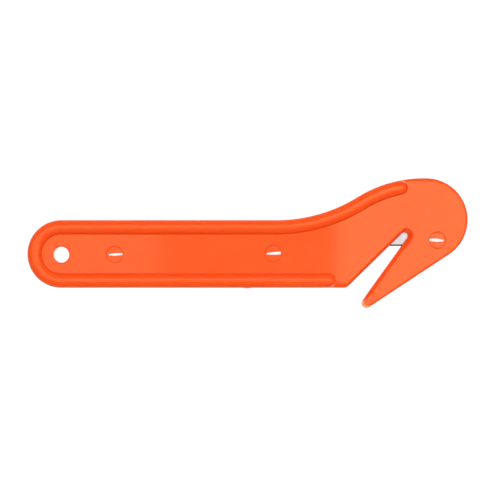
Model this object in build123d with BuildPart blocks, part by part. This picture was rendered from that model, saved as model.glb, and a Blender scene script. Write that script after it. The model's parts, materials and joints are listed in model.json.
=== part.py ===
"""Concealed-blade safety cutter: two moulded half shells, three split pins and a floating blade.

The knife lies on its back: +X runs from the butt to the head, +Y from the belly to the back of the
hand grip, +Z out of the front panel. The origin is the middle of the outline, on the plane that the
rear rim rests on. Sketches are drawn from the middle of the butt and placed by planes. Millimetres.
"""

import os
from math import atan2, cos, degrees, radians, sin

from build123d import *

# Side outline, clockwise from the top of the butt
GRIP_H = 25.4  # height of the grip
GRIP_L = 80.6  # straight back of the grip, from the butt centre to the neck
NECK_R = 58.2  # hollow of the neck
NECK_TURN = 31.7  # degrees that the neck climbs
CROWN_R = 47.2  # back of the head
CROWN_TURN = 33.4
NOSE_R = 15.6
JAW_SLOPE = 33.4  # degrees of the long lower edge of the head
JAW_L = 35.9
BEAK_R = 1.8  # tip that slides under a strap
HOOK_SLOPE = 54.3  # degrees of the slot's wall on the beak
HOOK_L = 28.8
THROAT_R = 1.35  # closed end of the slot
SLOT_SLOPE = 44.5  # degrees of the slot's wall on the chin
CHIN_R = 2.8

# Section, measured from the parting plane half way through the knife
THICKNESS = 11.0  # over the rims
PANEL_T = 7.0  # over the flat panels and the head
WALL = 1.8
HEAD_EDGE_R = 0.8
SLOT_BEVEL_W = 1.3
SLOT_BEVEL_H = 1.5

# Raised rim along the belly, the butt, the back and the neck
RIM_W = 5.4
RIM_ROUND = 2.3  # leaves a narrow flat along the crest to rest on
RIM_X = 100.3  # middle of the rim's round end at the chin
RIM_CROWN_TURN = 20.4  # degrees that the rim follows the crown
RIM_CORE_W = 1.8
RIM_CORE_H = 3.9

# Inside of the grip
CAVITY_END = 98.0
RIB_T = 1.2
RIB_X = (9.0, 32.0, 44.0, 56.0, 68.0, 91.5)
PIN_BOSS_R = 4.8
HANG_BOSS_R = 5.4
TONGUE_INSET = 0.9
TONGUE_W = 0.6
TONGUE_H = 0.7
TONGUE_GAP = 0.1

# Hang hole at the butt
HANG_R = 3.0
HANG_Y = -0.3  # just below the middle of the butt
HANG_ROUND = 0.6

# Split pins: x, y, turn of the slot in degrees, its width at the hinge, in the middle and at the open end
PINS = {
    "butt_pin": (20.1, -0.2, 3.0, 0.3, 0.95, 0.55),
    "middle_pin": (79.6, 0.2, 3.0, 0.5, 1.0, 1.0),
    "head_pin": (141.1, 5.15, 177.0, 0.6, 1.25, 0.75),
}
PIN_HEAD_R = 3.0
PIN_HEAD_T = 1.4
PIN_SHANK_R = 2.75
PIN_CHAMFER = 0.06
PIN_HINGE = -2.5  # where the slot ends, from the middle of the pin
PIN_GAP = 0.1  # round the head and the shank, and under the head

# Blade, floating in a flat pocket across the throat
BLADE_L = 19.5
BLADE_H = 9.0
BLADE_T = 0.4
BLADE_BEVEL = 0.6
BLADE_X = 113.0
EDGE_Y = 3.0  # height of the cutting edge
BLADE_CORNER = 0.8
BLADE_TRAVEL = 2.5  # each way
BLADE_GAP = 0.3

# Moulding marks on the front shell
GATE_X = 69.7
GATE_L = 3.0
GATE_H = 1.2
GATE_PROUD = 0.2
DIMPLE_AT = (117.7, -15.4)
DIMPLE_R = 0.9
DIMPLE_D = 0.25

GRIP_R = GRIP_H / 2
HALF_T = THICKNESS / 2
PANEL_H = PANEL_T / 2
PIN_AT = [(pin[0], pin[1]) for pin in PINS.values()]

with BuildSketch() as outline:
    with BuildLine():
        back = Line((0, GRIP_R), (GRIP_L, GRIP_R))
        neck = JernArc(back @ 1, back % 1, NECK_R, NECK_TURN)
        crown = JernArc(neck @ 1, neck % 1, CROWN_R, -CROWN_TURN)
        nose_turn = 180 - JAW_SLOPE + NECK_TURN - CROWN_TURN
        nose = JernArc(crown @ 1, crown % 1, NOSE_R, -nose_turn)
        jaw = Line(nose @ 1, nose @ 1 + nose % 1 * JAW_L)
        beak = JernArc(jaw @ 1, jaw % 1, BEAK_R, HOOK_SLOPE - JAW_SLOPE - 180)
        hook = Line(beak @ 1, beak @ 1 + beak % 1 * HOOK_L)
        throat = JernArc(hook @ 1, hook % 1, THROAT_R, 180 + SLOT_SLOPE - HOOK_SLOPE)
        chin_drop = CHIN_R * (1 - cos(radians(SLOT_SLOPE)))
        slot_drop = (throat @ 1).Y + GRIP_R - chin_drop
        slot = Line(throat @ 1, throat @ 1 + throat % 1 * (slot_drop / sin(radians(SLOT_SLOPE))))
        chin = JernArc(slot @ 1, slot % 1, CHIN_R, -SLOT_SLOPE)
        belly = Line(chin @ 1, (0, -GRIP_R))
        butt = JernArc(belly @ 1, belly % 1, GRIP_R, -180)
    make_face()

CENTRE = outline.sketch.bounding_box().center()


def level(height: float) -> Plane:
    """Plane parallel to the panels, the given height above the parting plane."""
    return Plane(origin=(-CENTRE.X, -CENTRE.Y, HALF_T + height))


def rim_band(inset: float, width: float) -> Sketch:
    """Band with round ends along the rim's route, its middle the given inset inside the outline."""
    radius = GRIP_R - inset
    with BuildLine() as route:
        low = Line((RIM_X, -radius), (0, -radius))
        turn = JernArc(low @ 1, low % 1, radius, -180)
        high = Line(turn @ 1, (GRIP_L, radius))
        climb = JernArc(high @ 1, high % 1, NECK_R + inset, NECK_TURN)
        JernArc(climb @ 1, climb % 1, CROWN_R - inset, -RIM_CROWN_TURN)
    with BuildSketch() as band:
        with BuildLine():
            offset(route.line, amount=width / 2)
        make_face()
    return band.sketch


def pin_circles(radius: float) -> Sketch:
    """A circle round each pin."""
    with BuildSketch() as circles:
        with Locations(*PIN_AT):
            Circle(radius)
    return circles.sketch


def top_face(part: Part) -> Face:
    """The highest face of a part."""
    return part.faces().sort_by(Axis.Z)[-1]


# Upper half of the casing, from the parting plane to the crest of the rim
with BuildPart() as half_shell:
    with BuildSketch(level(0)):
        add(outline.sketch)
    extrude(amount=PANEL_H)
    fillet(top_face(half_shell.part).outer_wire().edges(), HEAD_EDGE_R)

    # Bevel that leads a strap into the slot
    with BuildSketch(level(PANEL_H)):
        with BuildLine():
            add(slot)
            add(throat)
            add(hook)
            Line(hook @ 0, slot @ 1)
        make_face()
        offset(amount=SLOT_BEVEL_W)
    bevel_slope = degrees(atan2(SLOT_BEVEL_W, SLOT_BEVEL_H))
    extrude(amount=-SLOT_BEVEL_H, taper=bevel_slope, mode=Mode.SUBTRACT)

    # Rounded rim, cored from inside
    with BuildSketch(level(0)):
        add(rim_band(RIM_W / 2, RIM_W))
    extrude(amount=HALF_T)
    fillet(top_face(half_shell.part).outer_wire().edges(), RIM_ROUND)
    with BuildSketch(level(0)):
        add(rim_band(RIM_W / 2, RIM_CORE_W))
    extrude(amount=RIM_CORE_H, mode=Mode.SUBTRACT)

    # Hollow grip, where cross ribs and round bosses are left standing
    with BuildSketch(level(0)):
        with BuildLine():
            inner_r = GRIP_R - WALL
            low = Line((CAVITY_END, -inner_r), (0, -inner_r))
            turn = JernArc(low @ 1, low % 1, inner_r, -180)
            high = Line(turn @ 1, (GRIP_L, inner_r))
            climb = JernArc(high @ 1, high % 1, NECK_R + WALL, Axis((CAVITY_END, 0), (0, 1)))
            Line(climb @ 1, low @ 0)
        make_face()
        with Locations(*[(x, 0) for x in RIB_X]):
            Rectangle(RIB_T, GRIP_H, mode=Mode.SUBTRACT)
        add(pin_circles(PIN_BOSS_R), mode=Mode.SUBTRACT)
        with Locations((0, HANG_Y)):
            Circle(HANG_BOSS_R, mode=Mode.SUBTRACT)
    extrude(amount=PANEL_H - WALL, mode=Mode.SUBTRACT)

    # Half of the blade's flat pocket
    with BuildSketch(level(0)):
        with Locations((BLADE_X + BLADE_L / 2, EDGE_Y + BLADE_H / 2)):
            Rectangle(BLADE_L + 2 * (BLADE_TRAVEL + BLADE_GAP), BLADE_H + 2 * BLADE_GAP)
    extrude(amount=BLADE_T / 2 + BLADE_GAP, mode=Mode.SUBTRACT)

    # Stepped holes for the split pins
    with BuildSketch(level(0)):
        add(pin_circles(PIN_SHANK_R + PIN_GAP))
    extrude(amount=PANEL_H, mode=Mode.SUBTRACT)
    with BuildSketch(level(PANEL_H)):
        add(pin_circles(PIN_HEAD_R + PIN_GAP))
    extrude(amount=-PIN_HEAD_T - PIN_GAP, mode=Mode.SUBTRACT)

    # Hang hole with a rounded mouth
    with BuildSketch(level(0)):
        with Locations((0, HANG_Y)):
            Circle(HANG_R)
    extrude(amount=PANEL_H, mode=Mode.SUBTRACT)
    hang_mouth = half_shell.edges().filter_by(GeomType.CIRCLE).sort_by_distance(
        level(PANEL_H).from_local_coords((HANG_R, HANG_Y, 0))
    )[0]
    fillet(hang_mouth, HANG_ROUND)

# Front half: a tongue on the parting face, the gate's stub on the belly and a mark on the beak
with BuildPart() as front_shell:
    add(half_shell.part)
    with BuildSketch(level(0)):
        add(rim_band(TONGUE_INSET, TONGUE_W))
    extrude(amount=-TONGUE_H)
    with BuildSketch(level(0)):
        with Locations((GATE_X, -GRIP_R)):
            Rectangle(GATE_L, 2 * GATE_PROUD)
    extrude(amount=GATE_H)
    with BuildSketch(level(PANEL_H)):
        with Locations(DIMPLE_AT):
            Circle(DIMPLE_R)
    extrude(amount=-DIMPLE_D, mode=Mode.SUBTRACT)
front_shell.part.label = "front_shell"

# Rear half: the same casing turned over, with a groove for the tongue
with BuildPart() as rear_shell:
    add(mirror(half_shell.part, about=level(0), mode=Mode.PRIVATE))
    with BuildSketch(level(0)):
        add(rim_band(TONGUE_INSET, TONGUE_W + 2 * TONGUE_GAP))
    extrude(amount=-TONGUE_H - TONGUE_GAP, mode=Mode.SUBTRACT)
rear_shell.part.label = "rear_shell"

# Blade: a flat strip, ground on both sides along its lower edge
with BuildPart() as blade:
    blade_end = Plane(level(0).from_local_coords((BLADE_X, 0, 0)), x_dir=(0, 1, 0), z_dir=(1, 0, 0))
    bevel_y = EDGE_Y + BLADE_BEVEL
    top_y = EDGE_Y + BLADE_H
    with BuildSketch(blade_end):
        with BuildLine():
            Polyline(
                (EDGE_Y, 0),
                (bevel_y, BLADE_T / 2),
                (top_y, BLADE_T / 2),
                (top_y, -BLADE_T / 2),
                (bevel_y, -BLADE_T / 2),
                close=True,
            )
        make_face()
    extrude(amount=BLADE_L)
    top_corners = blade.edges().filter_by(Axis.Z).group_by(Axis.Y)[-1]
    fillet(top_corners, BLADE_CORNER)
blade.part.label = "blade"


def split_pin(x: float, y: float, turn: float, hinge_w: float, mid_w: float, open_w: float) -> Part:
    """Pin with a head at each end, slotted through but for a strip along one side that it flexes on."""
    centre = level(0).from_local_coords((x, y, 0))
    middle = Plane(centre).rotated((0, 0, turn))
    with BuildPart() as pin:
        with BuildSketch(middle):
            Circle(PIN_SHANK_R)
        extrude(amount=PANEL_H, both=True)
        with BuildSketch(middle.offset(PANEL_H), middle.offset(PIN_HEAD_T - PANEL_H)):
            Circle(PIN_HEAD_R)
        extrude(amount=-PIN_HEAD_T)
        chamfer(pin.edges().group_by(Axis.Z)[-1], PIN_CHAMFER)
        chamfer(pin.edges().group_by(Axis.Z)[0], PIN_CHAMFER)
        reach = PIN_HEAD_R + 1
        with BuildSketch(middle):
            Polygon(
                (PIN_HINGE, -hinge_w / 2),
                (0, -mid_w / 2),
                (reach, -open_w / 2),
                (reach, open_w / 2),
                (0, mid_w / 2),
                (PIN_HINGE, hinge_w / 2),
                align=None,
            )
        extrude(amount=PANEL_H, both=True, mode=Mode.SUBTRACT)
    return pin.part


os.makedirs("parts", exist_ok=True)
for shell in (front_shell, rear_shell, blade):
    export_step(shell.part, f"parts/{shell.part.label}.step")
for name, sizes in PINS.items():
    pin = split_pin(*sizes)
    pin.label = name
    export_step(pin, f"parts/{name}.step")
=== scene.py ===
"""Looks of a concealed-blade safety cutter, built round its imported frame.

The knife lies flat, front panel up, on a pale studio table. The two moulded shells are meshed here from
the knife's side outline and section, with their real mating faces, hollow grip, pin wells and blade
pocket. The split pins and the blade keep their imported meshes, with softened edges and finishes of their
own.

Plan points are complex numbers in millimetres, counted from the middle of the butt: real to the head,
imaginary to the back of the grip. Heights are counted from the parting face of the two shells.
"""

import json
import logging
import math
from dataclasses import astuple, dataclass, field
from enum import Enum

import bpy
import numpy as np
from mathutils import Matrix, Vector
from mathutils.geometry import delaunay_2d_cdt


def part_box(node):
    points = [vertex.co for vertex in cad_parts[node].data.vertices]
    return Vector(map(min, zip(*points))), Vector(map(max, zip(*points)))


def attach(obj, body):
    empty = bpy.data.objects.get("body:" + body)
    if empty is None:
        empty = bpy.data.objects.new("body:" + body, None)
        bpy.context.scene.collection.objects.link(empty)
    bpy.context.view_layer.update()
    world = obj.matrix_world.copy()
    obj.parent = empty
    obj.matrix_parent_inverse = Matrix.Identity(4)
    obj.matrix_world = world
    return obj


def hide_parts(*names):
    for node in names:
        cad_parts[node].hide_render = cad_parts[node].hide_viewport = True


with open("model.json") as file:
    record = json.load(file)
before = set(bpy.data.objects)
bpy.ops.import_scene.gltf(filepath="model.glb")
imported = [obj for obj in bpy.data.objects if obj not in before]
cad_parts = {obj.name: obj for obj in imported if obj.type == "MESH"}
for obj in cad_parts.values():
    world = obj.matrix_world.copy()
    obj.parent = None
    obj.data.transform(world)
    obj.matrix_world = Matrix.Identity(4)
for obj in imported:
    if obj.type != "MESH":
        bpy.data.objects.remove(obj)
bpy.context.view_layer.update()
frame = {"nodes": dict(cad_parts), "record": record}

log = logging.getLogger("cutter")

MM = 0.001
SMOOTH_BELOW = math.radians(38)
SOFTEN_ABOVE = math.radians(32)
BEND_STEP = math.radians(9)
WELD = 1e-4
WEAR = "wear"
# Name of the vertex strength of the painted highlights: a painted reflection at the beak's tip and
# painted glints at the rim's ends.
PAINTED_GLINT = "pale"
HANG = -0.3j  # the hang hole's middle, a plan point just below the middle of the butt


@dataclass(frozen=True)
class EdgeForm:
    """Section of a shell's face where it turns down to its side wall.

    Args:
        width: Distance from the side wall over which the face falls.
        drop: How far it falls.
        chamfer: Share of the fall that is a straight chamfer; the rest is a round.
    """

    width: float
    drop: float
    chamfer: float


class Edge(Enum):
    """Named forms of the edge between a shell's face and its side wall."""

    GRIP = EdgeForm(0.8, 0.8, 0.0)
    HEAD = EdgeForm(0.95, 0.85, 0.0)
    CROWN = EdgeForm(1.3, 1.0, 0.0)
    TIP = EdgeForm(1.0, 2.6, 0.0)
    SLOT = EdgeForm(1.0, 1.1, 1.0)
    HOOK = EdgeForm(1.45, 1.3, 1.0)
    THROAT = EdgeForm(2.0, 2.2, 1.0)
    CHIN = EdgeForm(1.8, 1.3, 0.55)


class Side(Enum):
    """Which half of the casing a shell is: the way its outside faces along Z."""

    FRONT = 1
    REAR = -1


@dataclass(frozen=True)
class Datum:
    """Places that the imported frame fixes, in millimetres.

    Args:
        butt: Middle of the butt in the frame's own plane.
        parting: Height of the parting face above the rear rim's crest.
        crest: Height of a rim's crest above the parting face.
        panel: Height of a flat panel above the parting face.
        grip_r: Half the height of the grip.
    """

    butt: complex
    parting: float
    crest: float
    panel: float
    grip_r: float

    @classmethod
    def from_frame(cls) -> "Datum":
        """Reads the places from the hang hole's mount and the boxes of the shells and a pin.

        Returns:
            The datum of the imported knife.
        """
        hang = next(m for m in frame["record"]["mounts"] if m["name"] == "hang_hole")
        low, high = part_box("rear_shell")
        pin_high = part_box("butt_pin")[1]
        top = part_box("front_shell")[1]
        parting = (low.z + top.z) / 2 / MM
        butt = complex(hang["pos_m"][0], hang["pos_m"][1]) / MM - HANG
        return cls(
            butt=butt,
            parting=parting,
            crest=top.z / MM - parting,
            panel=pin_high.z / MM - parting,
            grip_r=round(butt.real - low.x / MM, 1),
        )

    def plan_of(self, node: str) -> complex:
        """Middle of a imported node, as a plan point."""
        low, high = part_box(node)
        return complex(low.x + high.x, low.y + high.y) / 2 / MM - self.butt

    def to_frame(self, plan: np.ndarray, height: np.ndarray) -> np.ndarray:
        """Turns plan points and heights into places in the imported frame.

        Args:
            plan: Plan points.
            height: Heights above the parting face.

        Returns:
            Rows of x, y and z in metres.
        """
        on = plan + self.butt
        return np.column_stack([on.real, on.imag, height + self.parting]) * MM


@dataclass(frozen=True)
class Stretch:
    """A straight or round stretch of a route, with the plastic on its right.

    Args:
        start: Plan point where it begins.
        heading: Direction of travel there, in radians.
        length: Length along it.
        turn: Angle it turns to the left, in radians; 0 for a straight stretch.
        edges: The shell's edge where it starts and where it ends.
    """

    start: complex
    heading: float
    length: float
    turn: float = 0.0
    edges: tuple[Edge, Edge] = (Edge.GRIP, Edge.GRIP)

    def at(self, along: np.ndarray, inset: float | np.ndarray = 0.0) -> np.ndarray:
        """Plan points at lengths along the stretch, moved to its right.

        Args:
            along: Lengths from the start.
            inset: How far to the right, the same for all or one for each.

        Returns:
            The plan points.
        """
        ahead = np.exp(1j * (self.heading + self.turn * along / self.length))
        if not self.turn:
            return self.start + along * ahead - 1j * ahead * inset
        radius = self.length / self.turn
        return self.centre - 1j * ahead * (radius + inset)

    @property
    def centre(self) -> complex:
        """Centre of a round stretch."""
        return self.start + 1j * np.exp(1j * self.heading) * self.length / self.turn

    @property
    def end(self) -> complex:
        """Plan point where the stretch ends."""
        return complex(self.at(np.array([self.length]))[0])

    def nearest(self, points: np.ndarray) -> tuple[np.ndarray, np.ndarray]:
        """Finds how far points are from the stretch.

        Args:
            points: Plan points.

        Returns:
            Their distances, and the lengths along the stretch of the nearest points on it.
        """
        if not self.turn:
            beside = (points - self.start) * np.exp(-1j * self.heading)
            along = np.clip(beside.real, 0, self.length)
        else:
            spread = abs(self.turn)
            swept = np.angle((points - self.centre) / (self.start - self.centre)) * np.sign(self.turn)
            swept = np.mod(swept, 2 * math.pi)
            past = swept > spread
            nearer_start = swept > (spread + 2 * math.pi) / 2
            swept = np.where(past, np.where(nearer_start, 0.0, spread), swept)
            along = swept / spread * self.length
        return np.abs(points - self.at(along)), along

    def stations(self, step: float) -> np.ndarray:
        """Spaces out lengths along the stretch, closer together on a tight bend.

        Args:
            step: Greatest distance between them.

        Returns:
            The lengths from its start, without its end.
        """
        if self.turn:
            step = min(step, abs(self.length / self.turn) * BEND_STEP)
        count = max(1, math.ceil(self.length / step))
        return np.arange(count) * self.length / count


@dataclass(frozen=True)
class Move:
    """A step along a route.

    Args:
        length: Length along it.
        turn: Angle it turns to the left, in radians.
        edges: The shell's edge where it starts and where it ends.
    """

    length: float
    turn: float
    edges: tuple[Edge, Edge]


def straight(length: float, start: Edge = Edge.GRIP, end: Edge | None = None) -> Move:
    """A move straight on, whose edge may change from one form to another."""
    return Move(length, 0.0, (start, end or start))


def bend(radius: float, degrees: float, start: Edge = Edge.GRIP, end: Edge | None = None) -> Move:
    """A move round an arc, to the left when the angle is positive, whose edge may change."""
    turn = math.radians(degrees)
    return Move(radius * abs(turn), turn, (start, end or start))


@dataclass(frozen=True)
class Route:
    """Stretches that follow each other without a corner.

    Args:
        stretches: The stretches in order.
    """

    stretches: tuple[Stretch, ...]

    @classmethod
    def chain(cls, start: complex, heading: float, *moves: Move) -> "Route":
        """Lays moves end to end.

        Args:
            start: Plan point where the route begins.
            heading: Direction of travel there, in radians.
            *moves: What straight() and bend() return.

        Returns:
            The route.
        """
        laid = []
        for move in moves:
            laid.append(Stretch(start, heading, move.length, move.turn, move.edges))
            start = laid[-1].end
            heading += move.turn
        return cls(tuple(laid))

    def nearest(self, points: np.ndarray) -> tuple[np.ndarray, np.ndarray, np.ndarray]:
        """Finds how far points are from the route.

        Args:
            points: Plan points.

        Returns:
            Their distances, the index of the nearest stretch, and the length along that stretch.
        """
        found = [stretch.nearest(points) for stretch in self.stretches]
        distance = np.array([pair[0] for pair in found])
        index = distance.argmin(axis=0)
        along = np.array([pair[1] for pair in found])[index, np.arange(len(points))]
        return distance.min(axis=0), index, along

    def points(self, step: float, inset: float = 0.0) -> np.ndarray:
        """Plan points along the whole route."""
        return np.concatenate([s.at(s.stations(step), inset) for s in self.stretches])


def circle(middle: complex, radius: float, count: int) -> np.ndarray:
    """Plan points round a circle."""
    return middle + radius * np.exp(2j * math.pi * np.arange(count) / count)


def inside(points: np.ndarray, loop: np.ndarray) -> np.ndarray:
    """Tells which plan points lie within a closed loop.

    Args:
        points: Plan points.
        loop: Corners of the loop in order.

    Returns:
        True for each point within.
    """
    within = np.zeros(len(points), bool)
    for a, b in zip(loop, np.roll(loop, -1)):
        crosses = (a.imag > points.imag) != (b.imag > points.imag)
        if a.imag == b.imag or not crosses.any():
            continue
        at = a.real + (points.imag - a.imag) * (b.real - a.real) / (b.imag - a.imag)
        within ^= crosses & (points.real < at)
    return within


def within_body(points: np.ndarray, loops: list[np.ndarray]) -> np.ndarray:
    """Tells which plan points lie within the first loop and outside all the others.

    Args:
        points: Plan points.
        loops: The body's outer loop, then its holes.

    Returns:
        True for each point within.
    """
    within = inside(points, loops[0])
    for hole in loops[1:]:
        within &= ~inside(points, hole)
    return within


def thinned(points: np.ndarray, gap: float) -> np.ndarray:
    """Drops each plan point that shares a small square with an earlier one.

    Args:
        points: Plan points.
        gap: Side of the squares.

    Returns:
        The points that are left, in their order.
    """
    cells = np.round(np.column_stack([points.real, points.imag]) / gap).astype(int)
    _, first = np.unique(cells, axis=0, return_index=True)
    return points[np.sort(first)]


def smooth_max(a: np.ndarray, b: np.ndarray, reach: float) -> np.ndarray:
    """The larger of two heights, with a hollow fillet where they meet."""
    blend = np.clip(1 - np.abs(a - b) / reach, 0, 1)
    return np.maximum(a, b) + reach / 4 * blend**2


def smooth_step(low: float, high: float, value: np.ndarray) -> np.ndarray:
    """Rises from 0 to 1 between two values, without a corner."""
    t = np.clip((value - low) / (high - low), 0, 1)
    return t * t * (3 - 2 * t)


@dataclass(frozen=True)
class SideOutline:
    """The knife's side outline, clockwise from the top of the butt, in millimetres and degrees.

    Args:
        grip_r: Radius of the butt, half the height of the grip.
        grip_l: Length of the grip's straight back.
        neck: Radius and turn of the hollow bend where the back climbs to the head.
        crown: Radius and turn of the bend over the head.
        nose_r: Radius of the head's round front.
        jaw_l: Length of the straight under the head, from the nose to the beak.
        jaw_slope: Its slope.
        beak_r: Radius of the beak's tip.
        hook_l: Length of the slot's wall on the beak's side.
        hook_slope: Its slope.
        hook_ease: Length at each end of it over which its edge changes form.
        throat_r: Radius of the slot's end.
        throat_hold: Share of that bend that keeps the throat's wide edge.
        slot_slope: Slope of the slot's wall on the grip's side.
        chin_r: Radius of the corner between that wall and the belly.
    """

    grip_r: float
    grip_l: float = 80.6
    neck: tuple[float, float] = (58.2, 31.7)
    crown: tuple[float, float] = (47.2, 33.4)
    nose_r: float = 15.6
    jaw_l: float = 35.9
    jaw_slope: float = 33.4
    beak_r: float = 1.8
    hook_l: float = 28.8
    hook_slope: float = 54.3
    hook_ease: float = 6.0
    throat_r: float = 1.35
    throat_hold: float = 0.6
    slot_slope: float = 44.5
    chin_r: float = 2.8

    @property
    def route(self) -> Route:
        """The closed outline.

        Returns:
            Its route.
        """
        nose_turn = 180 - self.jaw_slope + self.neck[1] - self.crown[1]
        throat_turn = 180 + self.slot_slope - self.hook_slope
        head = (
            straight(self.grip_l),
            bend(*self.neck),
            bend(self.crown[0], -self.crown[1], Edge.GRIP, Edge.CROWN),
            bend(self.nose_r, -nose_turn, Edge.CROWN, Edge.HEAD),
            straight(self.jaw_l, Edge.HEAD),
            bend(self.beak_r, self.hook_slope - self.jaw_slope - 180, Edge.HEAD, Edge.TIP),
            straight(self.hook_ease, Edge.TIP, Edge.HOOK),
            straight(self.hook_l - 2 * self.hook_ease, Edge.HOOK),
            straight(self.hook_ease, Edge.HOOK, Edge.THROAT),
            bend(self.throat_r, self.throat_hold * throat_turn, Edge.THROAT),
            bend(self.throat_r, (1 - self.throat_hold) * throat_turn, Edge.THROAT, Edge.SLOT),
        )
        start = 1j * self.grip_r
        throat_end = Route.chain(start, 0.0, *head).stretches[-1].end
        slope = math.radians(self.slot_slope)
        drop = throat_end.imag + self.grip_r - self.chin_r * (1 - math.cos(slope))
        slot_l = drop / math.sin(slope)
        belly_x = throat_end.real - slot_l * math.cos(slope) - self.chin_r * math.sin(slope)
        tail = (
            straight(slot_l, Edge.SLOT),
            bend(self.chin_r, -self.slot_slope, Edge.SLOT, Edge.CHIN),
            straight(belly_x, Edge.CHIN, Edge.GRIP),
            bend(self.grip_r, -180),
        )
        return Route.chain(start, 0.0, *head, *tail)

    def parallel(self, inset: float, low_x: float, crown_turn: float) -> Route:
        """A route inside the outline, from the chin round the butt and the back to the crown.

        Args:
            inset: Distance inside the outline.
            low_x: Where it starts along the belly.
            crown_turn: How many degrees it follows the crown.

        Returns:
            The open route.
        """
        radius = self.grip_r - inset
        return Route.chain(
            complex(low_x, -radius),
            math.pi,
            straight(low_x),
            bend(radius, -180),
            straight(self.grip_l),
            bend(self.neck[0] + inset, self.neck[1]),
            bend(self.crown[0] - inset, -crown_turn),
        )


@dataclass(frozen=True)
class Section:
    """Sizes of a shell's section, in millimetres.

    Args:
        crest: Height of the rim's crest above the parting face.
        panel: Height of the flat panel.
        rim_half: Half the rim's width.
        rim_rise: Height of the rim's dome.
        rim_foot: Reach of the fillet at the rim's foot.
        rim_fall: Steepness beyond the dome, which ends it at the fillet.
        rim_start_x: Where the rim starts along the belly.
        rim_crown_turn: How many degrees the rim follows the crown.
        chamfer_soft: Roundness of a chamfered edge's upper corner, as a share of its width.
        wall: Thickness of the moulding.
        core_half: Half the width of the hollow under the rim.
        core_h: Its depth from the parting face.
        cavity_end: Where the grip's hollow ends.
        rib_t: Thickness of the ribs across the hollow.
        rib_x: Middles of the ribs.
        boss_r: Radius of the pins' bosses.
        hang_r: Radius of the hang hole.
        hang_round: Radius of its rounded mouth.
        hang_boss_r: Radius of the boss round it.
        well_r: Radius of the well that takes a pin's head.
        well_break: Width of the well's broken edge.
        well_depth: Depth of the well.
        bore_r: Radius of the bore that takes a pin's shank.
        pocket_gap: Gap between the blade and its pocket.
        pocket_travel: How far the blade slides each way.
        tongue_inset: How far inside the outline the tongue runs.
        tongue_half: Half its width.
        tongue_h: Its height.
        tongue_gap: Gap round it in the other shell's groove.
        sink_depth: Depth of the sink marks over the ribs and bosses.
        sink_reach: How far they spread.
        stub_x: Where the gate's stub stands along the belly.
        stub_half: Half its width.
        stub_span: Shares of that between which it fades.
        stub_proud: How far it stands out.
        dimple: Middle of the round mark near the beak's tip.
        dimple_r: Its radius.
        dimple_floor: Share of the radius that is flat.
        dimple_d: Its depth.
    """

    crest: float
    panel: float
    rim_half: float = 2.7
    rim_rise: float = 2.3
    rim_foot: float = 0.4
    rim_fall: float = 20.0
    rim_start_x: float = 100.3
    rim_crown_turn: float = 20.4
    chamfer_soft: float = 0.12
    wall: float = 1.8
    core_half: float = 0.9
    core_h: float = 3.9
    cavity_end: float = 98.0
    rib_t: float = 1.2
    rib_x: tuple[float, ...] = (9.0, 32.0, 44.0, 56.0, 68.0, 91.5)
    boss_r: float = 4.8
    hang_r: float = 3.0
    hang_round: float = 0.6
    hang_boss_r: float = 5.4
    well_r: float = 3.04
    well_break: float = 0.07
    well_depth: float = 1.5
    bore_r: float = 2.85
    pocket_gap: float = 0.3
    pocket_travel: float = 2.5
    tongue_inset: float = 0.9
    tongue_half: float = 0.3
    tongue_h: float = 0.7
    tongue_gap: float = 0.1
    sink_depth: float = 0.006
    sink_reach: float = 1.3
    stub_x: float = 69.7
    stub_half: float = 1.5
    stub_span: tuple[float, float] = (0.6, 1.2)
    stub_proud: float = 0.2
    dimple: complex = 117.7 - 15.4j
    dimple_r: float = 0.9
    dimple_floor: float = 0.65
    dimple_d: float = 0.25


@dataclass(frozen=True)
class Spacing:
    """How closely a shell is meshed, in millimetres, degrees and shares of a feature's own size."""

    ring: float = 0.8
    ring_slack: float = 0.02
    grid: float = 1.2
    grid_margin: float = 25.0
    merge: float = 0.04
    off_loops: float = 0.03
    hole_points: int = 64
    mouth_points: int = 48
    boss_points: int = 40
    dimple_points: int = 20
    edge_shares: tuple[float, ...] = (0.03, 0.09, 0.18, 0.3, 0.44, 0.6, 0.78, 0.93, 1.05, 1.25)
    edge_clear: float = 0.4
    dome_degrees: tuple[int, ...] = tuple(range(8, 88, 8))
    foot_steps: tuple[float, ...] = (-0.02, 0.06, 0.18, 0.35, 0.6)
    rim_clear: float = 0.9
    mouth_degrees: tuple[int, ...] = tuple(range(10, 91, 10))
    mouth_clear: float = 0.9
    well_steps: tuple[float, ...] = (0.3, 0.8)
    well_clear: float = 1.3
    dimple_shares: tuple[float, ...] = (0.3, 0.5, 0.7, 0.85, 1.0, 1.2)


@dataclass(frozen=True)
class WearAndPaintedGlints:
    """Where a shell's outside is rubbed, and where highlights are painted on it, in millimetres, radians
    and shares of a feature's size.

    Args:
        crest_reach: Share of the rim's half width over which its rubbed crest fades.
        edge_wear: Wear of the outer edge, where the crest's is 1.
        edge_fade: Shares of the edge's width between which its wear fades.
        tip_fade: Distances inside the beak's tip between which its painted reflection fades.
        arc_turn: How far from straight ahead the painted glint at a rim's end stands.
        arc_inset: How far inside the rim's side the arc lies.
        arc_width: Half its width.
        arc_sweep: Half the angle that it spans.
    """

    crest_reach: float = 0.45
    edge_wear: float = 0.8
    edge_fade: tuple[float, float] = (0.3, 1.1)
    tip_fade: tuple[float, float] = (0.5, 1.1)
    arc_turn: float = 0.85
    arc_inset: float = 0.12
    arc_width: float = 0.22
    arc_sweep: float = 0.45


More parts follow.
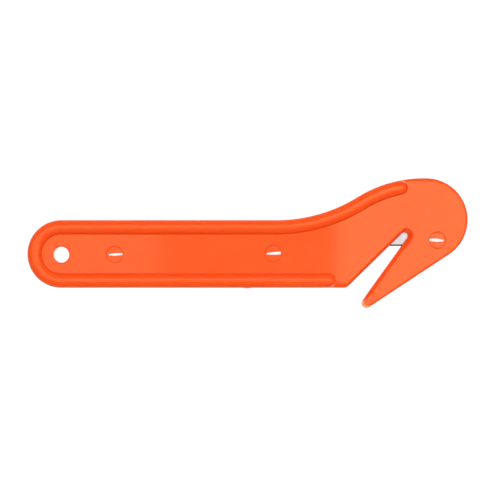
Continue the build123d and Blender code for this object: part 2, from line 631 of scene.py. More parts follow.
def build_mesh(
    name: str, corners: np.ndarray, faces: list[tuple[int, ...]], marks: dict[str, np.ndarray]
) -> bpy.types.Object:
    """Makes a smooth-shaded mesh object with crisp corners.

    Args:
        name: Name of the object.
        corners: Rows of x, y and z in metres.
        faces: Corner indices of each face.
        marks: Strengths from 0 to 1 for each corner, by the name that a finish asks for.

    Returns:
        The object, linked to the scene.
    """
    mesh = bpy.data.meshes.new(name)
    mesh.from_pydata(corners.tolist(), [], faces)
    for mark, strength in marks.items():
        layer = mesh.attributes.new(mark, "FLOAT", "POINT")
        layer.data.foreach_set("value", strength.astype(np.float32))
    mesh.validate()
    mesh.shade_smooth()
    mesh.set_sharp_from_angle(angle=SMOOTH_BELOW)
    made = bpy.data.objects.new(name, mesh)
    bpy.context.scene.collection.objects.link(made)
    return made


def triangulate(loops: list[np.ndarray], free: np.ndarray) -> tuple[np.ndarray, np.ndarray]:
    """Fills the plane between constraint loops and free points with triangles.

    Args:
        loops: Closed loops of plan points that triangles don't cross.
        free: Further plan points to use as corners.

    Returns:
        The corners, which start with the loops' own points, and rows of three corner indices.
    """
    given = np.concatenate([*loops, free])
    edges = []
    first = 0
    for loop in loops:
        count = len(loop)
        edges += [(first + i, first + (i + 1) % count) for i in range(count)]
        first += count
    corners = [Vector((p.real, p.imag)) for p in given]
    made, _, faces, _, _, _ = delaunay_2d_cdt(corners, edges, [], 0, WELD)
    return np.array([complex(v.x, v.y) for v in made]), np.array(faces)


@dataclass
class Shell:
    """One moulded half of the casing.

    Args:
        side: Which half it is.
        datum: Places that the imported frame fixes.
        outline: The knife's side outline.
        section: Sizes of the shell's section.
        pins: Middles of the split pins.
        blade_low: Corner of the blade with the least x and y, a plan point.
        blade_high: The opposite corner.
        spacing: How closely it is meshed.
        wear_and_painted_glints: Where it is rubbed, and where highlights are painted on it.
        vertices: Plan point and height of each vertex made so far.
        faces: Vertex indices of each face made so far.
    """

    side: Side
    datum: Datum
    outline: SideOutline
    section: Section
    pins: list[complex]
    blade_low: complex
    blade_high: complex
    spacing: Spacing = Spacing()
    wear_and_painted_glints: WearAndPaintedGlints = WearAndPaintedGlints()
    vertices: list[tuple[complex, float]] = field(default_factory=list)
    faces: list[tuple[int, ...]] = field(default_factory=list)

    def __post_init__(self) -> None:
        """Works out the routes that the shell is shaped by."""
        part = self.section
        self.node = f"{self.side.name.lower()}_shell"
        self.edge_route = self.outline.route
        edges = [stretch.edges for stretch in self.edge_route.stretches]
        self.edge_forms = np.array([[astuple(edge.value) for edge in pair] for pair in edges])
        self.edge_lengths = np.array([stretch.length for stretch in self.edge_route.stretches])
        ends = (part.rim_start_x, part.rim_crown_turn)
        self.rim_route = self.outline.parallel(part.rim_half, *ends)
        self.tongue_route = self.outline.parallel(part.tongue_inset, *ends)
        grown = part.pocket_gap + part.pocket_travel + 1j * part.pocket_gap
        self.pocket = (self.blade_low - grown, self.blade_high + grown)

    def edge_form(self, index: np.ndarray, along: np.ndarray) -> np.ndarray:
        """Sizes of the edge at places along the outline.

        Args:
            index: Stretch of the outline at each place.
            along: Length along that stretch.

        Returns:
            Rows of the edge's width, drop and chamfer, with a column for each place.
        """
        share = smooth_step(0, 1, along / self.edge_lengths[index])[:, None]
        return (self.edge_forms[index, 0] * (1 - share) + self.edge_forms[index, 1] * share).T

    def edge_drop(self, points: np.ndarray) -> np.ndarray:
        """How far the shell's outer edge lowers its face.

        Args:
            points: Plan points within the outline.

        Returns:
            The fall at each.
        """
        distance, index, along = self.edge_route.nearest(points)
        width, drop, chamfer = self.edge_form(index, along)
        reach = np.clip(1 - distance / width, 0, 1)
        rounded = 1 - np.sqrt(1 - reach**2)
        soft = self.section.chamfer_soft
        straight_fall = (np.hypot(reach, soft) - soft) / (math.hypot(1, soft) - soft)
        return drop * (chamfer * straight_fall + (1 - chamfer) * rounded)

    def sink(self, points: np.ndarray) -> np.ndarray:
        """How far the panel has shrunk in over the ribs and bosses that stand behind it.

        Args:
            points: Plan points within the outline.

        Returns:
            The depth at each.
        """
        part = self.section
        beyond = [np.abs(points.real - x) for x in part.rib_x]
        beyond += [np.clip(np.abs(points - pin) - part.boss_r, 0, None) for pin in self.pins]
        nearest = np.min(beyond, axis=0)
        return part.sink_depth * np.exp(-((nearest / part.sink_reach) ** 2))

    def height(self, points: np.ndarray) -> np.ndarray:
        """Height of the shell's outside above the parting face.

        Args:
            points: Plan points within the outline.

        Returns:
            Their heights.
        """
        part = self.section
        face = part.panel - self.edge_drop(points) - self.sink(points)
        ring = np.abs(points - HANG) - part.hang_r
        near = np.clip(part.hang_round - ring, 0, part.hang_round)
        face -= part.hang_round - np.sqrt(part.hang_round**2 - near**2)
        for pin in self.pins:
            face -= np.clip(part.well_break + part.well_r - np.abs(points - pin), 0, part.well_break)
        if self.side is Side.FRONT:
            off = np.abs(points - part.dimple) / part.dimple_r
            face -= part.dimple_d * smooth_step(1.0, part.dimple_floor, off)
        across = self.rim_route.nearest(points)[0] / part.rim_half
        dome = np.sqrt(np.clip(1 - across**2, 0, None))
        rim = part.crest - part.rim_rise * (1 - dome) - part.rim_fall * np.clip(across - 1, 0, None)
        return smooth_max(rim, face, part.rim_foot)

    def lean(self, points: np.ndarray) -> np.ndarray:
        """Directions that the shell's outside faces in at plan points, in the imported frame.

        Args:
            points: Plan points away from the outline and the holes.

        Returns:
            Rows of x, y and z.
        """
        near = 0.01
        across = (self.height(points + near) - self.height(points - near)) / (2 * near)
        up = (self.height(points + 1j * near) - self.height(points - 1j * near)) / (2 * near)
        facing = np.column_stack([-across, -up, np.full(len(points), float(self.side.value))])
        return facing / np.linalg.norm(facing, axis=1)[:, None]

    def wear(self, points: np.ndarray) -> np.ndarray:
        """How much the outside is rubbed.

        Args:
            points: Plan points within the outline.

        Returns:
            0 on a panel to 1 on a crest, for each.
        """
        marks = self.wear_and_painted_glints
        across = self.rim_route.nearest(points)[0] / self.section.rim_half
        distance, index, along = self.edge_route.nearest(points)
        edge = distance / self.edge_form(index, along)[0]
        crest_wear = 1 - smooth_step(0.0, marks.crest_reach, across)
        return np.maximum(crest_wear, marks.edge_wear * (1 - smooth_step(*marks.edge_fade, edge)))

    def pale(self, points: np.ndarray) -> np.ndarray:
        """Strength of the painted highlights on the outside: a painted reflection round the beak's tip,
        and painted glints by the rim's two ends.

        Args:
            points: Plan points within the outline.

        Returns:
            0 to 1 for each.
        """
        marks = self.wear_and_painted_glints
        distance, index, _ = self.edge_route.nearest(points)
        tips = [n for n, s in enumerate(self.edge_route.stretches) if s.turn and Edge.TIP in s.edges]
        # Painted reflection: a pale cap round the beak's tip.
        pale = np.isin(index, tips) * (1 - smooth_step(*marks.tip_fade, distance))
        # Painted glints: pale arcs at the outer corners of the rim's two ends.
        first, last = self.rim_route.stretches[0], self.rim_route.stretches[-1]
        low_on, high_on = -np.exp(1j * first.heading), np.exp(1j * (last.heading + last.turn))
        arc_r = self.section.rim_half - marks.arc_inset
        ends = ((first.start, low_on, -marks.arc_turn), (last.end, high_on, marks.arc_turn))
        for end, ahead, turn in ends:
            beyond = (points - end) / (ahead * np.exp(1j * turn))
            ring = np.exp(-(((np.abs(beyond) - arc_r) / marks.arc_width) ** 2))
            pale = np.maximum(pale, ring * np.exp(-((np.angle(beyond) / marks.arc_sweep) ** 2)))
        return pale

    def outline_loop(self) -> np.ndarray:
        """Places points along the outline.

        One of them stands where the pocket's lower wall meets each side of the slot.

        Returns:
            The loop of plan points.
        """
        part = self.section
        step = self.spacing.ring
        level = self.pocket[0].imag
        loop = []
        for stretch in self.edge_route.stretches:
            along = stretch.stations(step)
            if not stretch.turn and {Edge.SLOT, Edge.HOOK}.intersection(stretch.edges):
                meets = (level - stretch.start.imag) / math.sin(stretch.heading)
                if 0 < meets < stretch.length:
                    spaced = along[np.abs(along - meets) > step / 3]
                    along = np.sort(np.append(spaced, meets))
            loop.append(stretch.at(along))
        loop = np.concatenate(loop)
        if self.side is Side.FRONT:
            reach = np.abs(loop.real - part.stub_x) / part.stub_half
            proud = part.stub_proud * (1 - smooth_step(*part.stub_span, reach))
            loop -= 1j * proud * (loop.imag < -self.outline.grip_r + WELD)
        return loop

    def edge_rings(self) -> np.ndarray:
        """Lays rings that follow the outer edge, closer together where its section bends.

        Returns:
            Plan points on the rings, clear of the rim.
        """
        spacing = self.spacing
        rings = []
        for count, stretch in enumerate(self.edge_route.stretches):
            along = stretch.stations(spacing.ring)
            width = self.edge_form(np.full(len(along), count), along)[0]
            for share in spacing.edge_shares:
                ring = stretch.at(along, width * share)
                clear = self.edge_route.nearest(ring)[0] > width * share - spacing.ring_slack
                rings.append(ring[clear])
        points = np.concatenate(rings)
        away = self.rim_route.nearest(points)[0] > self.section.rim_half + spacing.edge_clear
        return points[away]

    def rim_rings(self) -> np.ndarray:
        """Lays rings along the rim's crest, slopes and foot, and round its two ends.

        Returns:
            Plan points on the rings.
        """
        spacing = self.spacing
        half = self.section.rim_half
        first, last = self.rim_route.stretches[0], self.rim_route.stretches[-1]
        last_ahead = np.exp(1j * (last.heading + last.turn))
        rings = [self.rim_route.points(spacing.ring)]
        foot = half + np.array(spacing.foot_steps)
        for reach in [*half * np.sin(np.radians(spacing.dome_degrees)), *foot]:
            rings += [self.rim_route.points(spacing.ring, side * reach) for side in (-1, 1)]
            fan = np.exp(1j * np.linspace(-math.pi / 2, math.pi / 2, 13 + int(6 * reach)))
            rings.append(first.start + reach * fan)
            rings.append(last.end + reach * last_ahead * fan)
        return np.concatenate(rings)

    def hole_rings(self) -> np.ndarray:
        """Lays rings round the hang hole's mouth, the pin wells and the mark on the beak.

        Returns:
            Plan points on the rings.
        """
        part, spacing = self.section, self.spacing
        around = spacing.mouth_points
        mouth = part.hang_round * (1 - np.cos(np.radians(spacing.mouth_degrees)))
        mouth = [*mouth, part.hang_round + spacing.edge_clear]
        rings = [circle(HANG, part.hang_r + more, around) for more in mouth]
        for pin in self.pins:
            steps = (part.well_break, *spacing.well_steps)
            rings += [circle(pin, part.well_r + more, around) for more in steps]
        for share in spacing.dimple_shares:
            rings.append(circle(part.dimple, part.dimple_r * share, spacing.dimple_points))
        return np.concatenate(rings)

    def grid_points(self) -> np.ndarray:
        """Lays an even triangular grid, away from the edges, the rim and the holes.

        Returns:
            Its plan points.
        """
        part, spacing = self.section, self.spacing
        low = -self.outline.grip_r * (1 + 1j)
        high = self.pocket[1] + spacing.grid_margin * (1 + 1j)
        across = np.arange(low.real, high.real, spacing.grid)
        rows = np.arange(2 * low.imag, high.imag, spacing.grid * math.sin(math.pi / 3))
        shift = (np.arange(len(rows)) % 2) * spacing.grid / 2
        grid = (across[None, :] + shift[:, None] + 1j * rows[:, None]).ravel()
        away = self.rim_route.nearest(grid)[0] > part.rim_half + spacing.rim_clear
        distance, index, along = self.edge_route.nearest(grid)
        last_ring = spacing.edge_shares[-1] * self.edge_form(index, along)[0]
        away &= distance > last_ring + spacing.edge_clear
        away &= np.abs(grid - HANG) > part.hang_r + part.hang_round + spacing.mouth_clear
        last_ring = spacing.dimple_shares[-1] * part.dimple_r
        away &= np.abs(grid - part.dimple) > last_ring + spacing.edge_clear
        for pin in self.pins:
            away &= np.abs(grid - pin) > part.well_r + spacing.well_clear
        return grid[away]

    def add(self, plan: complex, height: float) -> int:
        """Adds a vertex and returns its index."""
        self.vertices.append((plan, height))
        return len(self.vertices) - 1

    def build_outside(self, loops: list[np.ndarray]) -> list[int]:
        """Meshes the outer surface.

        Args:
            loops: The outline, then the hang hole, then the pin wells' mouths.

        Returns:
            The indices of the loops' vertices.
        """
        rings = [self.hole_rings(), self.rim_rings(), self.edge_rings(), self.grid_points()]
        free = thinned(np.concatenate(rings), self.spacing.merge)
        free = free[within_body(free, loops)]
        bounds = np.concatenate(loops)
        batches = np.array_split(free, 16)
        gap = np.concatenate([np.abs(some[:, None] - bounds).min(axis=1) for some in batches])
        corners, faces = triangulate(loops, free[gap > self.spacing.off_loops])
        heights = self.height(corners)
        for plan, height in zip(corners, heights):
            self.add(complex(plan), float(height))
        keep = within_body(corners[faces].mean(axis=1), loops)
        self.faces += [tuple(map(int, face)) for face in faces[keep]]
        return list(range(len(bounds)))

    def cavity_loop(self) -> np.ndarray:
        """Lays the loop round the hollow of the grip.

        Returns:
            Its corners, clockwise from its lower end.
        """
        part = self.section
        radius = self.outline.grip_r - part.wall
        neck = bend(self.outline.neck[0] + part.wall, 25)
        climb = Stretch(complex(self.outline.grip_l, radius), 0.0, neck.length, neck.turn)
        rise = climb.at(climb.stations(1.0))
        rise = rise[rise.real < part.cavity_end]
        butt = radius * np.exp(1j * np.linspace(1.5 * math.pi, math.pi / 2, 48))
        return np.concatenate([[complex(rise[-1].real, -radius)], butt, rise])

    def inner_loops(self) -> list[np.ndarray]:
        """Lays the loops round each recess in the parting face and each rib and boss left standing in it.

        Returns:
            The loops.
        """
        part = self.section
        around = self.spacing.boss_points
        low, high = self.pocket
        loops = [
            self.cavity_loop(),
            np.array([low, complex(high.real, low.imag), high, complex(low.real, high.imag)]),
            self.band_loop(self.rim_route, part.core_half),
            self.band_loop(self.tongue_route, self.tongue_half),
        ]
        for x in part.rib_x:
            corner = part.rib_t / 2 + 1j * (self.outline.grip_r - part.wall * 0.6)
            loops.append(x + np.array([-corner, corner.conjugate(), corner, -corner.conjugate()]))
        loops.append(circle(HANG, part.hang_boss_r, around))
        return loops + [circle(pin, part.boss_r, around) for pin in self.pins]

    @property
    def tongue_half(self) -> float:
        """Half the width of the front shell's tongue or of the rear shell's groove."""
        part = self.section
        return part.tongue_half + (part.tongue_gap if self.side is Side.REAR else 0.0)

    def inner_level(self, points: np.ndarray) -> np.ndarray:
        """Height of the shell's inside.

        Args:
            points: Plan points within the outline.

        Returns:
            0 on the parting face, more in a recess and less on the tongue, for each.
        """
        part = self.section
        level = np.zeros(len(points))
        hollow = inside(points, self.cavity_loop()) & (np.abs(points - HANG) > part.hang_boss_r)
        for pin in self.pins:
            hollow &= np.abs(points - pin) > part.boss_r
        for x in part.rib_x:
            hollow &= np.abs(points.real - x) > part.rib_t / 2
        level[hollow] = part.panel - part.wall
        low, high = self.pocket
        pocket = (points.real > low.real) & (points.real < high.real)
        pocket &= (points.imag > low.imag) & (points.imag < high.imag)
        blade_low, blade_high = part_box("blade")
        level[pocket] = (blade_high.z - blade_low.z) / MM / 2 + part.pocket_gap
        level[self.rim_route.nearest(points)[0] < part.core_half] = part.core_h
        tongue = self.tongue_route.nearest(points)[0] < self.tongue_half
        level[tongue] = part.tongue_h + part.tongue_gap if self.side is Side.REAR else -part.tongue_h
        return level

    def band_loop(self, route: Route, half: float) -> np.ndarray:
        """Loop round a band along an open route, with round ends.

        Args:
            route: Middle of the band.
            half: Half the band's width.

        Returns:
            The loop's corners.
        """
        first, last = route.stretches[0], route.stretches[-1]
        fan = np.exp(1j * np.linspace(math.pi / 2, -math.pi / 2, 9))
        far_end = last.end + half * np.exp(1j * (last.heading + last.turn)) * fan
        out = route.points(2 * self.spacing.ring, -half)
        back = route.points(2 * self.spacing.ring, half)[::-1]
        return np.concatenate([out, far_end, back, first.start + half * fan[::-1]])

    def build_inside(self, loops: list[np.ndarray], outer: list[int]) -> None:
        """Meshes the parting face, the recesses in it and every wall up to the outer surface.

        Args:
            loops: The outline, then the hang hole, then the pins' bores.
            outer: Indices of the outer surface's vertices above the loops' points.
        """
        corners, faces = triangulate([*loops, *self.inner_loops()], np.empty(0, complex))
        middles = corners[faces].mean(axis=1)
        keep = within_body(middles, loops)
        sides: dict[tuple[int, int], float] = {}
        floors: dict[int, set[float]] = {}
        made: dict[tuple[int, float], int] = {}

        def vertex(corner: int, level: float) -> int:
            """Finds the vertex at a corner on a level, and makes it when first asked for.

            Args:
                corner: Index of the corner.
                level: The height.

            Returns:
                The vertex's index.
            """
            key = (corner, round(level, 4))
            if key not in made:
                made[key] = self.add(complex(corners[corner]), level)
            return made[key]

        def rise(corner: int, low: float, high: float) -> list[int]:
            """Vertices up a wall's corner, with one at every level that meets it on the way."""
            return [vertex(corner, level) for level in sorted(floors[corner]) if low <= level <= high]

        for face, level in zip(faces[keep].tolist(), self.inner_level(middles[keep]).tolist()):
            self.faces.append(tuple(vertex(corner, level) for corner in face[::-1]))
            for a, b in zip(face, [*face[1:], face[0]]):
                sides[(a, b)] = level
                floors.setdefault(a, set()).add(level)
        first_bore = len(loops[0]) + len(loops[1])
        ledge = self.section.panel - self.section.well_depth
        mouths: dict[int, int] = {}
        for (a, b), level in sides.items():
            other = sides.get((b, a))
            if other is not None:
                if other > level:
                    self.faces.append((*rise(a, level, other)[::-1], *rise(b, level, other)))
                continue
            foot = (*rise(a, level, self.section.panel)[::-1], *rise(b, level, self.section.panel))
            if a < first_bore:
                self.faces.append((*foot, outer[b], outer[a]))
                continue
            step_a, step_b = vertex(a, ledge), vertex(b, ledge)
            for corner in (a, b):
                if corner not in mouths:
                    mouths[corner] = self.add(self.vertices[outer[corner]][0], ledge)
            self.faces.append((*foot, step_b, step_a))
            self.faces.append((step_a, step_b, mouths[b], mouths[a]))
            self.faces.append((mouths[a], mouths[b], outer[b], outer[a]))

    def build(self) -> bpy.types.Object:
        """Meshes the shell and hangs it on the casing.

        Returns:
            The shell's object.
        """
        part = self.section
        around = self.spacing.hole_points
        outline = self.outline_loop()
        hang = circle(HANG, part.hang_r, around)
        mouths = [circle(pin, part.well_r, around) for pin in self.pins]
        bores = [circle(pin, part.bore_r, around) for pin in self.pins]
        outer = self.build_outside([outline, hang, *mouths])
        skin_count = len(self.vertices)
        self.build_inside([outline, hang, *bores], outer)
        plan = np.array([v[0] for v in self.vertices])
        height = np.array([v[1] for v in self.vertices]) * self.side.value
        marks = {WEAR: np.zeros(len(plan)), PAINTED_GLINT: np.zeros(len(plan))}
        marks[WEAR][:skin_count] = self.wear(plan[:skin_count])
        # Painted highlights: strength of the pale glints painted at the beak's tip and the rim's ends.
        marks[PAINTED_GLINT][:skin_count] = self.pale(plan[:skin_count])
        faces = self.faces if self.side is Side.FRONT else [face[::-1] for face in self.faces]
        shell = build_mesh(f"{self.node}_skin", self.datum.to_frame(plan, height), faces, marks)
        bounds = len(outer)
        facing = np.zeros((len(plan), 3))
        facing[bounds:skin_count] = self.lean(plan[bounds:skin_count])
        shell.data.normals_split_custom_set_from_vertices(facing.tolist())
        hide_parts(self.node)
        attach(shell, "casing")
        return shell

    def dress(self, shell: bpy.types.Object, finish: "MouldedPlastic") -> None:
        """Gives the shell its plastic, with the flow marks starting at the gate.

        Args:
            shell: The shell's object.
            finish: Its plastic.
        """
        stub = np.array([self.section.stub_x - 1j * self.outline.grip_r])
        gate = self.datum.to_frame(stub, np.zeros(1))[0]
        paint(shell, finish.make(f"{self.node}_plastic", tuple(gate)))


@dataclass
class SplitPins:
    """The three split pins that hold the shells together.

    Args:
        nodes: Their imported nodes.
        soft_edge: Width of their softened edges, in metres.
    """

    nodes: tuple[str, ...] = ("butt_pin", "middle_pin", "head_pin")
    soft_edge: float = 0.05 * MM

    def dress(self, finish: "MouldedPlastic") -> list[bpy.types.Object]:
        """Softens the pins' edges and gives them their plastic.

        Args:
            finish: The pins' plastic.

        Returns:
            The pins' objects.
        """
        pins = [frame["nodes"][node] for node in self.nodes]
        for pin in pins:
            soften(pin, self.soft_edge)
            low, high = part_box(pin.name)
            paint(pin, finish.make(f"{pin.name}_plastic", tuple((low + high) / 2)))
        return pins


@dataclass
class Blade:
    """The floating blade strip.

    Args:
        node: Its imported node.
        soft_edge: Width of its softened edges, in metres.
    """

    node: str = "blade"
    soft_edge: float = 0.02 * MM

    def dress(self, finish: "GroundSteel") -> bpy.types.Object:
        """Breaks the blade's edges and gives it its ground steel.

        Args:
            finish: The blade's steel.

        Returns:
            The blade's object.
        """
        blade = frame["nodes"][self.node]
        soften(blade, self.soft_edge)
        paint(blade, finish.make("blade_steel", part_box(self.node)[0].y))
        return blade


def soften(piece: bpy.types.Object, width: float) -> None:
    """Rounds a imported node's edges by modifiers, which leave its own mesh alone.

    Args:
        piece: The node's object.
        width: Width of the rounding in metres.
    """
    weld = piece.modifiers.new("weld", "WELD")
    weld.merge_threshold = 1e-6
    soft = piece.modifiers.new("soft_edges", "BEVEL")
    soft.width = width
    soft.segments = 2
    soft.limit_method = "ANGLE"
    soft.angle_limit = SOFTEN_ABOVE
    soft.harden_normals = True


def paint(piece: bpy.types.Object, material: bpy.types.Material) -> None:
    """Puts one material in every material slot of a piece."""
    if not piece.material_slots:
        piece.data.materials.append(material)
    for place in piece.material_slots:
        place.material = material


class Recipe:
    """Lays out the nodes of one material round a Principled shader."""

    def __init__(self, name: str) -> None:
        """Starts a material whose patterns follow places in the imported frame.

        Args:
            name: The material's name.
        """
        self.material = bpy.data.materials.new(name)
        self.material.use_nodes = True
        self.tree = self.material.node_tree
        self.shader = self.tree.nodes["Principled BSDF"]
        self.place = self.node("ShaderNodeTexCoord").outputs["Object"]

    def node(self, kind: str, **settings: object) -> bpy.types.Node:
        """Adds a node and sets its options.

        Args:
            kind: Blender's name for the kind of node.
            **settings: The options by name.

        Returns:
            The node.
        """
        made = self.tree.nodes.new(kind)
        for name, value in settings.items():
            setattr(made, name, value)
        return made

    def put(self, node: bpy.types.Node, socket: str | int, value: object) -> None:
        """Feeds a node's input from another node's output, or sets it to a constant.

        Args:
            node: The node that is fed.
            socket: Name or number of its input.
            value: An output socket or a constant.
        """
        if isinstance(value, bpy.types.NodeSocket):
            self.tree.links.new(value, node.inputs[socket])
        else:
            node.inputs[socket].default_value = value

    def shade(self, **values: object) -> None:
        """Feeds or sets the shader's inputs, named with underscores for spaces."""
        for name, value in values.items():
            self.put(self.shader, name.replace("_", " "), value)

    def noise(
        self, size: float, detail: float, stretch: tuple[float, float, float] = (1, 1, 1)
    ) -> bpy.types.NodeSocket:
        """Cloudy noise.

        Args:
            size: Size of its clouds in metres.
            detail: How many finer layers it has.
            stretch: How many times longer the clouds are along X, Y and Z.

        Returns:
            Its strength, about 0.5 on average.
        """
        spread = self.node("ShaderNodeMapping")
        self.put(spread, "Vector", self.place)
        self.put(spread, "Scale", tuple(1 / (size * times) for times in stretch))
        made = self.node("ShaderNodeTexNoise")
        self.put(made, "Vector", spread.outputs["Vector"])
        self.put(made, "Scale", 1.0)
        self.put(made, "Detail", detail)
        return made.outputs["Fac"]

    def remap(
        self, value: bpy.types.NodeSocket, span: tuple[float, float], to: tuple[float, float]
    ) -> bpy.types.NodeSocket:
        """Carries a value from one span to another, and clamps it there.

        Args:
            value: The value.
            span: Values that are carried to the ends of the other span.
            to: The other span.

        Returns:
            The carried value.
        """
        made = self.node("ShaderNodeMapRange", interpolation_type="SMOOTHSTEP")
        self.put(made, "Value", value)
        for socket, number in zip(("From Min", "From Max", "To Min", "To Max"), (*span, *to)):
            self.put(made, socket, number)
        return made.outputs["Result"]

    def times(self, first: bpy.types.NodeSocket, second: object) -> bpy.types.NodeSocket:
        """The product of a value and another value or a number."""
        return self.reckon("MULTIPLY", first, second)

    def plus(self, first: bpy.types.NodeSocket, second: object) -> bpy.types.NodeSocket:
        """The sum of a value and another value or a number."""
        return self.reckon("ADD", first, second)

    def reckon(self, operation: str, *values: object) -> bpy.types.NodeSocket:
        """Does one sum.

        Args:
            operation: Blender's name for the kind of sum.
            *values: Output sockets or numbers.

        Returns:
            The result.
        """
        made = self.node("ShaderNodeMath", operation=operation)
        for socket, value in enumerate(values):
            self.put(made, socket, value)
        return made.outputs[0]

    def blend(self, share: bpy.types.NodeSocket, first: object, second: object) -> bpy.types.NodeSocket:
        """Mixes two colours.

        Args:
            share: How much of the second colour there is.
            first: A colour or an output socket.
            second: A colour or an output socket.

        Returns:
            The mixed colour.
        """
        made = self.node("ShaderNodeMix", data_type="RGBA")
        self.put(made, "Factor", share)
        for socket, colour in ((6, first), (7, second)):
            plain = not isinstance(colour, bpy.types.NodeSocket)
            self.put(made, socket, (*colour, 1.0) if plain else colour)
        return made.outputs[2]

    def bump(
        self, height: bpy.types.NodeSocket, depth: float, over: bpy.types.NodeSocket | None = None
    ) -> bpy.types.NodeSocket:
        """Raises a pattern on the surface.

        Args:
            height: The pattern, from 0 to 1.
            depth: Its depth in metres.
            over: Another bump that it lies on.

        Returns:
            The bent normal.
        """
        made = self.node("ShaderNodeBump")
        self.put(made, "Height", height)
        self.put(made, "Distance", depth)
        self.put(made, "Strength", 1.0)
        if over is not None:
            self.put(made, "Normal", over)
        return made.outputs["Normal"]


@dataclass(frozen=True)
class MouldedPlastic:
    """Bright moulded plastic with flow marks from its gate, a fine grain, rubbed edges and painted
    highlights.

    Args:
        colour: Its colour.
        flow_colour: Colour of the lighter streaks in it.
        rubbed_colour: Colour of scuffed crests and edges.
        painted_glint_colour: Colour of the painted highlights at the beak's tip and the rim's ends.
        roughness: Roughness of the polished panels and of the rims.
        grain_depth: Depth of the fine grain, in metres.
        scratch_depth: Depth of the handling scratches, in metres.
        front_size: Distance between the flow fronts, in metres.
        cloud_size: Size of the streaks that they break up into, in metres.
        speck_size: Size of the dark specks, in metres.
        patch_size: Size of the scuffed patches, in metres.
        scuff_size: Size of the scuffs in them, in metres.
        haze_size: Size of the patches of uneven gloss, in metres.
        grain_size: Size of the fine grain, in metres.
        scratch_size: Width of the scratches, in metres.
        rim_from: Heights between which the panels' roughness turns into the rims', in metres.
        sheen: Strength of the gloss.
        sheen_tint: Colour of the gloss.
        glow: Share of the light that spreads under the surface.
        glow_reach: How far each of red, green and blue spreads, where red is 1.
        glow_depth: How far red spreads, in metres.
    """

    colour: tuple[float, float, float]
    flow_colour: tuple[float, float, float]
    rubbed_colour: tuple[float, float, float]
    painted_glint_colour: tuple[float, float, float]
    roughness: tuple[float, float]
    grain_depth: float
    scratch_depth: float
    front_size: float = 0.011
    cloud_size: float = 0.02
    speck_size: float = 0.0011
    patch_size: float = 0.009
    scuff_size: float = 0.0006
    haze_size: float = 0.006
    grain_size: float = 0.00035
    scratch_size: float = 0.0004
    rim_from: tuple[float, float] = (0.0036, 0.0044)
    sheen: float = 0.23
    sheen_tint: tuple[float, float, float, float] = (1.0, 0.93, 0.48, 1.0)
    glow: float = 0.3
    glow_reach: tuple[float, float, float] = (1.0, 0.1, 0.03)
    glow_depth: float = 0.0025

    def make(self, name: str, gate: tuple[float, float, float]) -> bpy.types.Material:
        """Makes the material.

        Args:
            name: Its name.
            gate: Where the plastic entered the mould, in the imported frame.

        Returns:
            The material.
        """
        recipe = Recipe(name)
        cloud = recipe.noise(self.cloud_size, 4, (2.2, 1, 1))
        reach = recipe.node("ShaderNodeVectorMath", operation="DISTANCE")
        recipe.put(reach, 0, recipe.place)
        recipe.put(reach, 1, gate)
        waves = recipe.times(reach.outputs["Value"], 2 * math.pi / self.front_size)
        fronts = recipe.reckon("SINE", recipe.plus(waves, recipe.times(cloud, 7.0)))
        streaks = recipe.plus(cloud, recipe.times(fronts, 0.06))
        streaks = recipe.remap(streaks, (0.3, 0.72), (0.0, 1.0))
        rubbed = recipe.node("ShaderNodeAttribute", attribute_name=WEAR).outputs["Fac"]
        scuffs = recipe.remap(recipe.noise(self.scuff_size, 5, (9, 1, 1)), (0.5, 0.72), (0.0, 1.0))
        patches = recipe.remap(recipe.noise(self.patch_size, 3), (0.5, 0.75), (0.0, 0.3))
        scuffed = recipe.times(rubbed, recipe.times(scuffs, patches))
        body = recipe.blend(streaks, self.colour, self.flow_colour)
        speck = recipe.remap(recipe.noise(self.speck_size, 1), (0.72, 0.8), (0.0, 0.35))
        body = recipe.blend(speck, body, tuple(0.6 * part for part in self.colour))
        # Painted highlights: the pale colour is laid where glints are painted at the beak's tip and the
        # rim's ends.
        pale = recipe.node("ShaderNodeAttribute", attribute_name=PAINTED_GLINT).outputs["Fac"]
        body = recipe.blend(pale, body, self.painted_glint_colour)
        split = recipe.node("ShaderNodeSeparateXYZ")
        recipe.put(split, 0, recipe.place)
        height = recipe.reckon("ABSOLUTE", recipe.plus(split.outputs["Z"], -gate[2]))
        gloss = recipe.remap(height, self.rim_from, self.roughness)
        haze = recipe.remap(recipe.noise(self.haze_size, 5, (2, 1, 1)), (0.3, 0.7), (0.9, 1.1))
        gloss = recipe.times(gloss, haze)
        grain = recipe.bump(recipe.noise(self.grain_size, 3), self.grain_depth)
        scratches = recipe.remap(recipe.noise(self.scratch_size, 2, (30, 1, 1)), (0.62, 0.75), (0.0, 1.0))
        recipe.shade(
            Base_Color=recipe.blend(scuffed, body, self.rubbed_colour),
            Roughness=recipe.plus(gloss, recipe.times(scuffed, 0.25)),
            Normal=recipe.bump(scratches, self.scratch_depth, grain),
            IOR=1.5,
            Specular_IOR_Level=self.sheen,
            Specular_Tint=self.sheen_tint,
            Subsurface_Weight=self.glow,
            Subsurface_Radius=self.glow_reach,
            Subsurface_Scale=self.glow_depth,
        )
        return recipe.material


